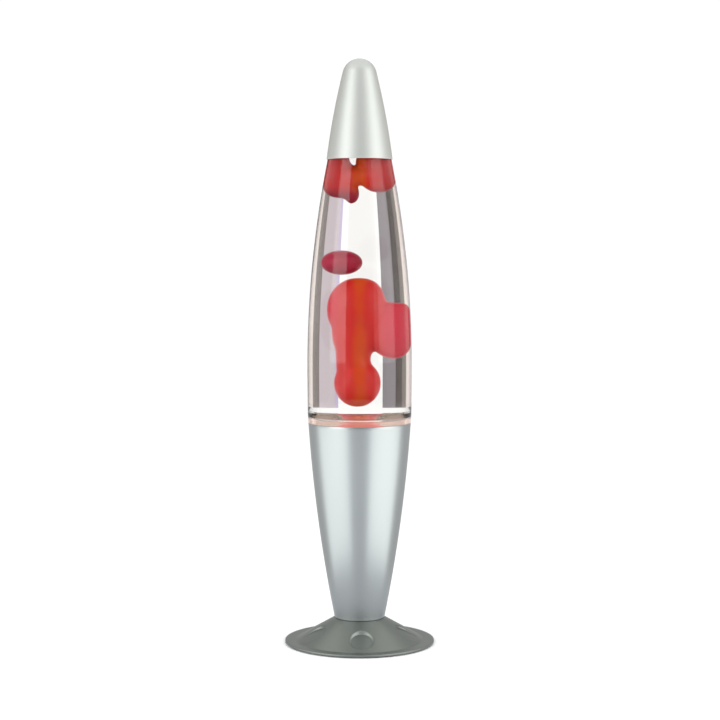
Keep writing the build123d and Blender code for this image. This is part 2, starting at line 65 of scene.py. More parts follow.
foot_r, foot_low, foot_top = levels("foot")
mouth_r, body_low, mouth_z = levels("cone_body")
_, _, seat_z = levels("seat_ring")
bottle_r, bottle_low, lip_z = levels("bottle")
cap_r, cap_low, cap_top = levels("cap")
_, _, liquid_top = levels("liquid")
closure_r, closure_low, closure_top = levels("closure")
print("foot", foot_r, "mouth", mouth_r, "bottle", bottle_r, "cap", cap_r)

# %% [markdown]
# ## Drawing a round part
# Spun metal and blown glass are both round about one axis. The quickest true model is a half
# outline turned about that axis, which is what the spin operator does. The outline is a closed
# loop of points given as radius and height. Doubles are merged at the poles, and the normals are
# recalculated, because a spin can leave a shape inside out.

# %% Helpers for outlines and spins
def arc(a, b, bulge, steps):
    """Points from a to b on a circular arc that stands out from the straight line by bulge."""
    a = Vector(a)
    b = Vector(b)
    run = b - a
    out = Vector((run.y, -run.x)).normalized()
    if abs(bulge) < 1e-9:
        return [a.lerp(b, i / steps) for i in range(steps + 1)]
    radius = (run.length ** 2 / 4 + bulge ** 2) / (2 * bulge)
    centre = (a + b) / 2 + out * (bulge - radius)
    start = math.atan2(a.y - centre.y, a.x - centre.x)
    sweep = 2 * math.asin(max(-1.0, min(1.0, run.length / (2 * radius))))
    angles = (start + sweep * i / steps for i in range(steps + 1))
    return [centre + abs(radius) * Vector((math.cos(a), math.sin(a))) for a in angles]


merge_distance = 1e-6
sharp_angle = math.radians(35)


def new_piece(name, shape):
    """A mesh object from a bmesh, smooth except at sharp corners."""
    bmesh.ops.remove_doubles(shape, verts=shape.verts, dist=merge_distance)
    bmesh.ops.recalc_face_normals(shape, faces=shape.faces)
    for face in shape.faces:
        face.smooth = True
    for edge in shape.edges:
        if len(edge.link_faces) == 2:
            edge.smooth = edge.calc_face_angle(0.0) < sharp_angle
    mesh = bpy.data.meshes.new(name)
    shape.to_mesh(mesh)
    shape.free()
    piece = bpy.data.objects.new(name, mesh)
    bpy.context.scene.collection.objects.link(piece)
    return piece


def spun(name, points, turns=192):
    """A piece turned about the axis from a closed outline of (radius, height) points."""
    shape = bmesh.new()
    verts = [shape.verts.new((max(p[0], 0.0), 0.0, p[1])) for p in points]
    edges = [shape.edges.new((verts[i], verts[i + 1])) for i in range(len(verts) - 1)]
    edges.append(shape.edges.new((verts[-1], verts[0])))
    bmesh.ops.spin(shape, geom=verts + edges, cent=(0, 0, 0), axis=(0, 0, 1), angle=2 * math.pi,
                   steps=turns, use_merge=True, use_duplicate=False)
    loose = [edge for edge in shape.edges if not edge.link_faces]
    bmesh.ops.delete(shape, geom=loose, context="EDGES")
    piece = new_piece(name, shape)
    print(name, len(piece.data.polygons), "faces")
    return piece


# %% [markdown]
# ## Node groups that several materials share
# A bare metal or plastic never has one even colour. The *grain* group gives a slow drift of colour
# and roughness and a fine height, and *lathe_lines* gives the faint rings that spinning leaves,
# which follow the distance from the axis and the height. Both read Object coordinates, so the
# pattern stays with the piece. The groups put out only colours and values. Each shader stays in
# its own material.

# %% Node group helpers
def group(name, inputs, outputs):
    """An empty shader node group with named sockets."""
    tree = bpy.data.node_groups.new(name, "ShaderNodeTree")
    for label, kind, value in inputs:
        socket = tree.interface.new_socket(label, in_out="INPUT", socket_type=kind)
        socket.default_value = value
    for label, kind in outputs:
        tree.interface.new_socket(label, in_out="OUTPUT", socket_type=kind)
    return tree, tree.nodes.new("NodeGroupInput"), tree.nodes.new("NodeGroupOutput")


def math_node(tree, operation, a, b=None):
    """A Math node whose inputs are sockets or numbers."""
    node = tree.nodes.new("ShaderNodeMath")
    node.operation = operation
    for slot, value in enumerate((a, b)):
        if value is None:
            continue
        if isinstance(value, (int, float)):
            node.inputs[slot].default_value = value
        else:
            tree.links.new(value, node.inputs[slot])
    return node.outputs[0]


def weighted(tree, a, share_a, b, share_b):
    """Two values added, each with its share."""
    return math_node(tree, "ADD", math_node(tree, "MULTIPLY", a, share_a),
                     math_node(tree, "MULTIPLY", b, share_b))


def axis_distance(tree, x, y):
    """Distance from the axis of a place given as two sockets."""
    squares = math_node(tree, "ADD", math_node(tree, "MULTIPLY", x, x), math_node(tree, "MULTIPLY", y, y))
    return math_node(tree, "SQRT", squares)


def noise(tree, vector, scale, detail):
    """Factor of a noise texture, with the scale as a socket or a number."""
    node = tree.nodes.new("ShaderNodeTexNoise")
    node.inputs["Detail"].default_value = detail
    tree.links.new(vector, node.inputs["Vector"])
    if isinstance(scale, (int, float)):
        node.inputs["Scale"].default_value = scale
    else:
        tree.links.new(scale, node.inputs["Scale"])
    return node.outputs[0]


def shade_between(tree, factor, dark, light):
    """A colour between two colour sockets. A Mix node keeps its colours at inputs 6 and 7, output 2."""
    node = tree.nodes.new("ShaderNodeMix")
    node.data_type = "RGBA"
    tree.links.new(factor, node.inputs[0])
    tree.links.new(dark, node.inputs[6])
    tree.links.new(light, node.inputs[7])
    return node.outputs[2]


# %% The grain group
def make_grain():
    tree, inside, out = group(
        "grain",
        [("Light", "NodeSocketColor", (0.8, 0.8, 0.8, 1)),
         ("Dark", "NodeSocketColor", (0.7, 0.7, 0.7, 1)),
         ("Drift Scale", "NodeSocketFloat", 20.0), ("Grain Scale", "NodeSocketFloat", 2500.0),
         ("Roughness", "NodeSocketFloat", 0.4), ("Roughness Drift", "NodeSocketFloat", 0.08)],
        [("Color", "NodeSocketColor"), ("Roughness", "NodeSocketFloat"), ("Height", "NodeSocketFloat")])
    place = tree.nodes.new("ShaderNodeTexCoord").outputs["Object"]
    drift = noise(tree, place, inside.outputs["Drift Scale"], 4.0)
    fine = noise(tree, place, inside.outputs["Grain Scale"], 2.0)
    blend = weighted(tree, drift, 0.7, fine, 0.3)
    shade = shade_between(tree, blend, inside.outputs["Dark"], inside.outputs["Light"])
    tree.links.new(shade, out.inputs["Color"])
    swing = math_node(tree, "MULTIPLY", math_node(tree, "SUBTRACT", drift, 0.5),
                      inside.outputs["Roughness Drift"])
    tree.links.new(math_node(tree, "ADD", inside.outputs["Roughness"], swing), out.inputs["Roughness"])
    tree.links.new(fine, out.inputs["Height"])
    return tree


grain = make_grain()
print("group", grain.name)

# %% The lathe lines group
def make_lathe_lines():
    tree, inside, out = group(
        "lathe_lines", [("Line Scale", "NodeSocketFloat", 900.0)], [("Height", "NodeSocketFloat")])
    place = tree.nodes.new("ShaderNodeTexCoord").outputs["Object"]
    split = tree.nodes.new("ShaderNodeSeparateXYZ")
    tree.links.new(place, split.inputs[0])
    join = tree.nodes.new("ShaderNodeCombineXYZ")
    tree.links.new(axis_distance(tree, split.outputs[0], split.outputs[1]), join.inputs[0])
    tree.links.new(split.outputs[2], join.inputs[1])
    tree.links.new(noise(tree, join.outputs[0], inside.outputs["Line Scale"], 5.0), out.inputs["Height"])
    return tree


lathe_lines = make_lathe_lines()
print("group", lathe_lines.name)

# %% [markdown]
# ## Materials
# A short helper makes a material with one Principled shader and, if it is asked to, plugs in the
# grain group and a bump. Numbers that are the same all over a surface are set straight on the
# shader's own sockets.

# %% Material helpers
def material(name, metallic=0.0, **constants):
    """A new node material and its Principled shader."""
    made = bpy.data.materials.new(name)
    made.use_nodes = True
    shader = made.node_tree.nodes["Principled BSDF"]
    shader.inputs["Metallic"].default_value = metallic
    for label, value in constants.items():
        shader.inputs[label.replace("_", " ")].default_value = value
    return made, made.node_tree, shader


def use_group(tree, made_group, **values):
    """One placed node group with its inputs set."""
    node = tree.nodes.new("ShaderNodeGroup")
    node.node_tree = made_group
    for label, value in values.items():
        node.inputs[label.replace("_", " ")].default_value = value
    return node


def bump(tree, shader, height, distance, strength=1.0):
    """Fine relief on the shader's normal."""
    node = tree.nodes.new("ShaderNodeBump")
    node.inputs["Strength"].default_value = strength
    node.inputs["Distance"].default_value = distance
    tree.links.new(height, node.inputs["Height"])
    tree.links.new(node.outputs["Normal"], shader.inputs["Normal"])


def grained(name, light, dark, roughness, metallic=0.0, grain_scale=2500.0, relief=0.02 * mm, **constants):
    """A solid finish with drifting colour and roughness and a fine relief."""
    made, tree, shader = material(name, metallic, **constants)
    skin = use_group(tree, grain, Light=(*light, 1), Dark=(*dark, 1), Grain_Scale=grain_scale,
                     Roughness=roughness, Roughness_Drift=0.08)
    tree.links.new(skin.outputs["Color"], shader.inputs["Base Color"])
    tree.links.new(skin.outputs["Roughness"], shader.inputs["Roughness"])
    bump(tree, shader, skin.outputs["Height"], relief)
    return made


def paint(piece, made):
    """Puts one material on a piece."""
    piece.data.materials.clear()
    piece.data.materials.append(made)


# %% [markdown]
# ## Spun aluminium
# The cap and the body are spun from thin aluminium sheet, blasted to a satin finish and clear
# lacquered. The look is a metal with a middling roughness, very faint rings, and a light coat. The
# foot is the same kind of finish in a dark grey.

# %% Satin aluminium and gunmetal
def satin_metal(name, light, dark, roughness, coat):
    """Spun sheet: grain for the blasting, rings for the spinning, and a thin lacquer."""
    made, tree, shader = material(name, 1.0, Coat_Weight=coat, Coat_Roughness=0.18)
    skin = use_group(tree, grain, Light=(*light, 1), Dark=(*dark, 1), Drift_Scale=14.0,
                     Grain_Scale=3500.0, Roughness=roughness, Roughness_Drift=0.06)
    rings = use_group(tree, lathe_lines, Line_Scale=1400.0)
    tree.links.new(skin.outputs["Color"], shader.inputs["Base Color"])
    tree.links.new(skin.outputs["Roughness"], shader.inputs["Roughness"])
    height = weighted(tree, skin.outputs["Height"], 0.7, rings.outputs["Height"], 0.3)
    bump(tree, shader, height, 0.03 * mm)
    return made


cap_aluminium = satin_metal("cap_aluminium", (0.68, 0.70, 0.67), (0.60, 0.62, 0.59),
                            roughness=0.56, coat=0.03)
body_aluminium = satin_metal("body_aluminium", (0.50, 0.52, 0.52), (0.44, 0.46, 0.46),
                             roughness=0.34, coat=0.05)
gunmetal = satin_metal("gunmetal", (0.25, 0.265, 0.245), (0.20, 0.215, 0.195),
                       roughness=0.36, coat=0.04)
print(cap_aluminium.name, body_aluminium.name, gunmetal.name)

# %% [markdown]
# ## The cap
# The cap is a slightly swelled cone with a round tip. Its lower edge is folded in, which shows as
# a soft bright line, so the outline turns round there with a small radius. It could be made from a
# cone with loop cuts, but one spun outline gives the sheet its thickness as well.

# %% The cap
cap_tip = 12.4 * mm
cap_sheet = 0.6 * mm
cap_swell = 0.9 * mm
tip_centre = cap_top - cap_tip
cap_lean = math.atan2(cap_r - cap_tip, tip_centre - cap_low)


def cap_side(wall, low):
    """Outline of the cap from its edge to its tip, moved in by a wall."""
    tip = cap_tip - wall
    angles = [cap_lean + (math.pi / 2 - cap_lean) * i / 20 for i in range(21)]
    dome = [Vector((tip * math.cos(a), tip_centre + tip * math.sin(a))) for a in angles]
    return arc((cap_r - wall, low), dome[0], cap_swell, 40) + dome[1:]


hem = 0.3 * mm
edge = [Vector((cap_r - hem + hem * math.cos(a), cap_low + hem + hem * math.sin(a)))
        for a in (math.radians(d) for d in (180, 210, 240, 270, 300, 330))]
cap = spun("cap_shape", edge + cap_side(0.0, cap_low + hem) + cap_side(cap_sheet, cap_low + hem)[::-1])
paint(cap, cap_aluminium)
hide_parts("cap")
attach(cap, "cap")

# %% [markdown]
# ## The cone body
# The body flares up from the foot in a long shallow curve and ends in a lip that carries the seat
# ring. Its back has one round hole for the cord. The hole is cut with a Boolean modifier, which is
# applied at once.

# %% The cone body
body_sheet = 0.8 * mm
neck_r = 18.2 * mm
body_bulge = 2.3 * mm
lip_width = 1.7 * mm
lip_r = mouth_r - lip_width
tube_hole_r = 5.1 * mm  # for the tube that ties body and foot together
mouth_fold = 0.35 * mm
foot_fold = 0.9 * mm
cord_hole_r = 3.9 * mm
cord_out = Vector((0, 0.983, -0.182))  # straight out of the leaning side, at the back
cut_reach = 5 * mm


def body_side(wall, low, high):
    """Outline of the body's side, moved in by a wall."""
    return arc((neck_r - wall, low), (mouth_r - wall, high), body_bulge, 60)


foot_turn = [Vector((neck_r - foot_fold + foot_fold * math.sin(a),
                     body_low + foot_fold - foot_fold * math.cos(a)))
             for a in (math.radians(d) for d in (0, 20, 40, 60, 80))]
mouth_turn = [Vector((mouth_r - mouth_fold + mouth_fold * math.cos(a),
                      mouth_z - mouth_fold + mouth_fold * math.sin(a)))
              for a in (math.radians(d) for d in (30, 60, 90))]
body_outline = (
    [Vector((tube_hole_r, body_low))] + foot_turn
    + body_side(0.0, body_low + foot_fold, mouth_z - mouth_fold) + mouth_turn
    + [Vector((lip_r, mouth_z)), Vector((lip_r, mouth_z - body_sheet)),
       Vector((mouth_r - 1.3 * body_sheet, mouth_z - body_sheet))]
    + body_side(body_sheet, body_low + body_sheet, mouth_z - 2 * body_sheet)[::-1]
    + [Vector((tube_hole_r, body_low + body_sheet))])
body = spun("body_shape", body_outline)


def cut_round_hole(piece, low, high, radius):
    """Cuts a straight round hole between two points and applies the cut."""
    shape = bmesh.new()
    way = high - low
    turn = Vector((0, 0, 1)).rotation_difference(way).to_matrix().to_4x4()
    bmesh.ops.create_cone(shape, cap_ends=True, segments=48, radius1=radius, radius2=radius,
                          depth=way.length, matrix=Matrix.Translation((low + high) / 2) @ turn)
    cutter = new_piece("cutter", shape)
    cut = piece.modifiers.new("hole", "BOOLEAN")
    cut.operation = "DIFFERENCE"
    cut.solver = "EXACT"
    cut.object = cutter
    graph = bpy.context.evaluated_depsgraph_get()
    cut_mesh = bpy.data.meshes.new_from_object(piece.evaluated_get(graph))
    piece.modifiers.clear()
    piece.data = cut_mesh
    bpy.data.objects.remove(cutter)


bushing_low, bushing_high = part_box("cord_bushing")
cord_centre = (bushing_low + bushing_high) / 2
cut_round_hole(body, cord_centre - cut_reach * cord_out, cord_centre + cut_reach * cord_out, cord_hole_r)
paint(body, body_aluminium)
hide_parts("cone_body")
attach(body, "base")

# %% [markdown]
# ## The foot
# The foot is a spun dish with five round dimples pressed into its slope, deepest at their upper
# edge. The dish is spun with closely spaced rings. Then each vertex that lies in a dimple is moved
# down to the dimple's flat floor, with a narrow rounded shoulder between the two.

# %% The foot
foot_sheet = 0.8 * mm
slope_r = 46.0 * mm
flange_top = foot_low + 1.4 * mm
rim_roll = 0.4 * mm
under_step = Vector((0.35 * mm, foot_sheet))  # from the slope to its underside
slope_rings = 96
dimples = 5
dimple_r = 8.3 * mm
dimple_ring = 35.0 * mm
dimple_depth = 2.0 * mm
dimple_turn = math.radians(-90 + 2.5)
shoulder_out = 0.4 * mm
shoulder_width = 1.1 * mm


def dimple_drop(point):
    """How far a point of the slope is pressed down."""
    for i in range(dimples):
        angle = dimple_turn + 2 * math.pi * i / dimples
        centre = Vector((dimple_ring * math.cos(angle), dimple_ring * math.sin(angle)))
        away = (point.xy - centre).length
        if away < dimple_r + shoulder_out:
            uphill = 0.5 + (dimple_ring - point.xy.dot(centre.normalized())) / (2 * dimple_r)
            floor = dimple_depth * max(0.0, min(1.0, uphill))
            ease = min(1.0, (dimple_r + shoulder_out - away) / shoulder_width)
            return floor * ease * ease * (3 - 2 * ease)
    return 0.0


rim = [Vector((foot_r - rim_roll + rim_roll * math.cos(a), flange_top - rim_roll + rim_roll * math.sin(a)))
       for a in (math.radians(d) for d in (0, 30, 60, 90))]
flange = arc((slope_r + 6 * mm, flange_top), (slope_r + 1 * mm, flange_top), 0, 3)
slope_points = [Vector((slope_r + (neck_r - slope_r) * i / slope_rings,
                        flange_top + (foot_top - flange_top) * i / slope_rings))
                for i in range(slope_rings + 1)]
foot_outline = (
    [Vector((foot_r, foot_low))] + rim + flange + slope_points
    + [Vector((tube_hole_r, foot_top)), Vector((tube_hole_r, foot_top - foot_sheet))]
    + [p - under_step for p in slope_points[::-3]]
    + [Vector((foot_r - foot_sheet, flange_top - foot_sheet)), Vector((foot_r - foot_sheet, foot_low))])
foot = spun("foot_shape", foot_outline, turns=420)
for vert in foot.data.vertices:
    vert.co.z -= dimple_drop(vert.co)
foot.data.update()
paint(foot, gunmetal)
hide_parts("foot")
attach(foot, "base")

# %% [markdown]
# ## Glass that lets light through
# Path tracing finds a lamp behind glass only by luck, because a shadow ray stops at the glass. A
# common cure is to mix in a Transparent shader for shadow rays alone, so that lights reach what is
# inside while the camera still sees true refraction. The mirror reflections of the glass are toned
# down with Specular Tint, or they would wash out the wax behind them.

# %% Clear materials
reflection_share = 0.35
darkest_share = 0.985


def clear_material(name, tint, ior, roughness=0.0):
    """Refracting material that shadow rays pass straight through."""
    made, tree, shader = material(name, 0.0, IOR=ior, Transmission_Weight=1.0, Roughness=roughness)
    shader.inputs["Specular Tint"].default_value = (reflection_share, reflection_share, reflection_share, 1)
    skin = use_group(tree, grain, Light=(*tint, 1), Dark=tuple(darkest_share * c for c in tint) + (1,),
                     Drift_Scale=9.0, Grain_Scale=60.0, Roughness=roughness, Roughness_Drift=0.0)
    tree.links.new(skin.outputs["Color"], shader.inputs["Base Color"])
    through = tree.nodes.new("ShaderNodeBsdfTransparent")
    through.inputs["Color"].default_value = (*tint, 1)
    rays = tree.nodes.new("ShaderNodeLightPath")
    mix = tree.nodes.new("ShaderNodeMixShader")
    tree.links.new(rays.outputs["Is Shadow Ray"], mix.inputs[0])
    tree.links.new(shader.outputs[0], mix.inputs[1])
    tree.links.new(through.outputs[0], mix.inputs[2])
    tree.links.new(mix.outputs[0], tree.nodes["Material Output"].inputs["Surface"])
    return made


bottle_clear = clear_material("bottle_clear", (0.985, 0.985, 0.975), 1.5)
liquid_clear = clear_material("liquid_clear", (0.995, 0.985, 0.98), 1.33)
print(bottle_clear.name, liquid_clear.name)

# %% [markdown]
# ## The bottle
# The bottle is widest a little above the seat ring and draws in along one long arc to the neck.
# The inside follows the outside at one wall's distance, and the floor is thicker. A smooth spun
# mesh matters more here than anywhere, because every facet would show as a kink in what is seen
# through it.

# %% The bottle
glass_wall = 2.6 * mm
glass_floor = 4.0 * mm
heel_r = 37.3 * mm
wide_z = seat_z + 36.1 * mm
shoulder_r = 22.9 * mm
shoulder_pull = 19 * mm  # length of the handles that shape the shoulder's curve
plug_r = 33.2 * mm  # the part that sits in the body's mouth
neck_z = cap_low + 19.5 * mm
bottle_neck_r = 12.6 * mm
bead_r = 13.3 * mm
bead_low = lip_z - 7.0 * mm
bead_low_round = 0.7 * mm
bead_top_round = 1.2 * mm
bore_r = 8.5 * mm
bore_round = 0.8 * mm
heel = 1.0 * mm
corner = 3.0 * mm


def upright_arc(level, through, z):
    """Radius at a height on the arc that stands upright at a level and passes a second point."""
    drop = bottle_r - through[0]
    rise = through[1] - level
    radius = (rise * rise + drop * drop) / (2 * drop)
    return bottle_r - radius + math.sqrt(radius * radius - (z - level) ** 2)


def bottle_side(wall, start):
    """Side of the bottle from a start height up through the shoulder to the neck."""
    low = [Vector((upright_arc(wide_z, (heel_r, seat_z), z) - wall, z))
           for z in (start + (wide_z - start) * i / 12 for i in range(12))]
    high = [Vector((upright_arc(wide_z, (shoulder_r, cap_low), z) - wall, z))
            for z in (wide_z + (cap_low - wide_z) * i / 60 for i in range(61))]
    start_point = high[-1]
    lean = (high[-1] - high[-2]).normalized() * shoulder_pull
    end_point = Vector((bottle_neck_r - wall, neck_z))
    settle = Vector((0, shoulder_pull))
    shoulder = []
    for i in range(1, 21):
        t = i / 20
        shoulder.append(start_point * (2 * t ** 3 - 3 * t ** 2 + 1) + lean * (t ** 3 - 2 * t ** 2 + t)
                        + end_point * (3 * t ** 2 - 2 * t ** 3) + settle * (t ** 3 - t ** 2))
    return low + high + shoulder


def quarter(centre, radius, start, end, steps=6):
    """Points on part of a circle, with its angles in degrees."""
    return [Vector(centre) + radius * Vector((math.cos(a), math.sin(a)))
            for a in (math.radians(start + (end - start) * i / steps) for i in range(steps + 1))]


outside = (
    [Vector((0, bottle_low))]
    + quarter((plug_r - corner, bottle_low + corner), corner, -90, 0)
    + [Vector((plug_r, seat_z - 0.3 * mm)), Vector((plug_r + 0.4 * mm, seat_z))]
    + quarter((heel_r - heel, seat_z + heel), heel, -90, -10)
    + bottle_side(0.0, seat_z + 1.3 * heel)
    + [Vector((bottle_neck_r, bead_low - 0.5 * mm))]
    + quarter((bead_r - bead_low_round, bead_low + bead_low_round), bead_low_round, -90, 0)
    + quarter((bead_r - bead_top_round, lip_z - bead_top_round), bead_top_round, 0, 90)
    + quarter((bore_r + bore_round, lip_z - bore_round), bore_round, 90, 180))


def cavity_points(extra):
    """Inside of the bottle from the middle of its floor to its neck, moved in by a gap."""
    wall = glass_wall + extra
    low = bottle_low + glass_floor + extra
    reach = plug_r - wall
    step_top = seat_z + 2 * glass_wall
    step = arc((reach, seat_z + extra), (upright_arc(wide_z, (heel_r, seat_z), step_top) - wall, step_top),
               -0.4 * mm, 6)
    return ([Vector((0, low))] + quarter((reach - corner, low + corner), corner, -90, 0)
            + step + bottle_side(wall, seat_z + 2.2 * glass_wall))


inside = cavity_points(0.0)
inside_up = [p for p in inside if p.x > bore_r or p.y < cap_low] + [Vector((bore_r, neck_z))]
bottle = spun("bottle_glass_shape", outside + inside_up[::-1], turns=256)
paint(bottle, bottle_clear)
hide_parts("bottle")
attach(bottle, "bottle")

# %% [markdown]
# ## The liquid
# The liquid fills the bottle to just under the neck. It is one uncut closed mesh, and the wax
# simply sits in it, because the wax is opaque and hides the liquid behind its own surface. The
# liquid's skin lies a hair inside the glass wall, not a hair clear of it. A film of air between the
# two would turn the outer part of the bottle into a mirror, which wet glass never is. The surface
# climbs a little at the wall.

# %% The liquid
liquid_bite = 0.06 * mm
climb = 0.6 * mm
climb_width = 1.2 * mm
wet = [p for p in cavity_points(-liquid_bite) if p.y < liquid_top]
surface = [Vector((wet[-1].x - climb_width, liquid_top - climb)), Vector((0, liquid_top - 0.2 * mm))]
liquid = spun("liquid_shape", wet + surface, turns=256)
paint(liquid, liquid_clear)
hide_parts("liquid")
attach(liquid, "bottle")

# %% [markdown]
# ## Wax
# Warm wax pulls itself into round lobes joined by smooth necks. Each mass starts as a few
# stretched spheres. A voxel remesh joins them into one skin, and repeated smoothing rounds the
# creases into necks, as surface tension does.

# %% Wax helpers
def wax_mass(name, lobes, voxel=0.9 * mm, smoothing=14):
    """One smooth mass from lobes in millimetres: x, y, z, half width, half depth, half height."""
    shape = bmesh.new()
    for x, y, z, width, depth, height in lobes:
        stretch = Matrix.Diagonal((width * mm, depth * mm, height * mm, 1))
        place = Matrix.Translation(Vector((x, y, z)) * mm) @ stretch
        bmesh.ops.create_uvsphere(shape, u_segments=48, v_segments=32, radius=1.0, matrix=place)
    rough = new_piece(name + "_rough", shape)
    remesh = rough.modifiers.new("join", "REMESH")
    remesh.mode = "VOXEL"
    remesh.voxel_size = voxel
    graph = bpy.context.evaluated_depsgraph_get()
    joined = bpy.data.meshes.new_from_object(rough.evaluated_get(graph))
    bpy.data.objects.remove(rough)
    skin = bmesh.new()
    skin.from_mesh(joined)
    for _ in range(smoothing):
        bmesh.ops.smooth_vert(skin, verts=skin.verts, factor=0.5, use_axis_x=True, use_axis_y=True,
                              use_axis_z=True)
    piece = new_piece(name, skin)
    print(name, len(piece.data.polygons), "faces")
    return piece


# %% [markdown]
# The wax is a strong red that lets some light in. Its colour also carries painted light and shade,
# worked out from the place in the lamp by the *wax_painted_light* group, so it looks the same from
# wherever it is seen. Near the lamp's middle it is painted warmer for the bulb's beam; the bulb below
# also lights it through the glass. Towards the sides it is painted paler as a painted reflection of
# the soft boxes, and lower ends that hang away from the light are painted dark as painted shade. Each
# mass has its own values.

# %% The wax's painted light and shade group and the wax materials
core_edge = (2.5 * mm, 6.5 * mm)  # from the axis: where the painted bulb light turns to red
side_edge = (10 * mm, 18 * mm)  # where red turns to the painted reflection at the sides
uneven_by = 3 * mm
depth_share = 0.3  # how much being in front of the axis or behind it counts


# Colour of the wax with painted light and shade: Core is painted bulb light, Side is a painted reflection of
# the soft boxes, and Deep below Deep Level is painted shade. Middle is the wax's own red.
def make_wax_painted_light():
    tree, inside, out = group(
        "wax_painted_light",
        [("Core", "NodeSocketColor", (0.5, 0.05, 0.01, 1)),
         ("Middle", "NodeSocketColor", (0.5, 0.02, 0.02, 1)),
         ("Side", "NodeSocketColor", (0.5, 0.03, 0.06, 1)),
         ("Deep", "NodeSocketColor", (0.2, 0.003, 0.02, 1)),
         ("Deep Level", "NodeSocketFloat", 0.0), ("Fade", "NodeSocketFloat", 0.01)],
        [("Color", "NodeSocketColor"), ("Height", "NodeSocketFloat")])
    place = tree.nodes.new("ShaderNodeTexCoord").outputs["Object"]
    split = tree.nodes.new("ShaderNodeSeparateXYZ")
    tree.links.new(place, split.inputs[0])
    depth = math_node(tree, "MULTIPLY", split.outputs[1], depth_share)
    across = axis_distance(tree, split.outputs[0], depth)
    cloud = noise(tree, place, 60.0, 3.0)
    swing = math_node(tree, "MULTIPLY", math_node(tree, "SUBTRACT", cloud, 0.5), uneven_by)
    uneven = math_node(tree, "ADD", across, swing)

    def between(value, start, end):
        share = tree.nodes.new("ShaderNodeMapRange")
        share.interpolation_type = "SMOOTHSTEP"
        share.inputs["From Min"].default_value = start
        share.inputs["From Max"].default_value = end
        tree.links.new(value, share.inputs["Value"])
        return share.outputs["Result"]

    # Painted bulb light in the core, painted reflection at the sides, then painted shade below Deep Level.
    inner = shade_between(tree, between(uneven, *core_edge), inside.outputs["Core"], inside.outputs["Middle"])
    outer = shade_between(tree, between(uneven, *side_edge), inner, inside.outputs["Side"])
    drop = math_node(tree, "SUBTRACT", inside.outputs["Deep Level"], split.outputs[2])
    below = math_node(tree, "DIVIDE", drop, inside.outputs["Fade"])
    shade = shade_between(tree, between(below, 0.0, 1.0), outer, inside.outputs["Deep"])
    tree.links.new(shade, out.inputs["Color"])
    tree.links.new(cloud, out.inputs["Height"])
    return tree


wax_painted_light = make_wax_painted_light()


def make_wax(name, core, middle, side, deep, deep_level, fade):
    """Glossy, slightly translucent wax with its own values of painted light and shade, and a faint painted
    glow.
    """
    # The faint emission in the same colours is a painted glow, because the wax is no lamp.
    made, tree, shader = material(name, 0.0, Subsurface_Weight=0.12, Subsurface_Scale=4 * mm,
                                  Roughness=0.32, Specular_IOR_Level=0.18, Emission_Strength=0.10)
    shader.inputs["Subsurface Radius"].default_value = (1.0, 0.25, 0.15)
    glow = use_group(tree, wax_painted_light, Core=(*core, 1), Middle=(*middle, 1), Side=(*side, 1),
                     Deep=(*deep, 1), Deep_Level=deep_level, Fade=fade)
    tree.links.new(glow.outputs["Color"], shader.inputs["Base Color"])
    tree.links.new(glow.outputs["Color"], shader.inputs["Emission Color"])
    bump(tree, shader, glow.outputs["Height"], 0.2 * mm, 0.3)
    return made


# Core colours are painted bulb light, side colours are a painted reflection of the soft boxes, and the deep
# colour is painted shade under the lower ends. The middle red is the wax's own colour.
orange_painted_light = (0.58, 0.060, 0.006)
red = (0.57, 0.016, 0.013)
pink_painted_reflection = (0.60, 0.024, 0.050)
crimson_painted_shade = (0.26, 0.002, 0.020)
wax_upper_skin = make_wax("wax_under_the_cap", orange_painted_light, red, (0.47, 0.016, 0.018), crimson_painted_shade,
                          cap_low - 19 * mm, 9 * mm)
wax_bubble_skin = make_wax("wax_free_bubble", (0.29, 0.002, 0.022), (0.34, 0.003, 0.030),
                           (0.40, 0.008, 0.045), crimson_painted_shade, cap_low - 72 * mm, 14 * mm)
wax_column_skin = make_wax("wax_column_skin", orange_painted_light, red, pink_painted_reflection, crimson_painted_shade, seat_z + 7 * mm, 6 * mm)
wax_bed_skin = make_wax("wax_bed_skin", (0.52, 0.05, 0.012), red, pink_painted_reflection, crimson_painted_shade, bottle_low, 5 * mm)
print("four wax skins")

# %% [markdown]
# There are four masses: two lobes hanging under the cap with a drip between them, one free oval,
# a tall column with a wide head and a lobe at its side, and the bed left lying inside the coil.
# Their levels are given from the cap's edge or from the seat ring.

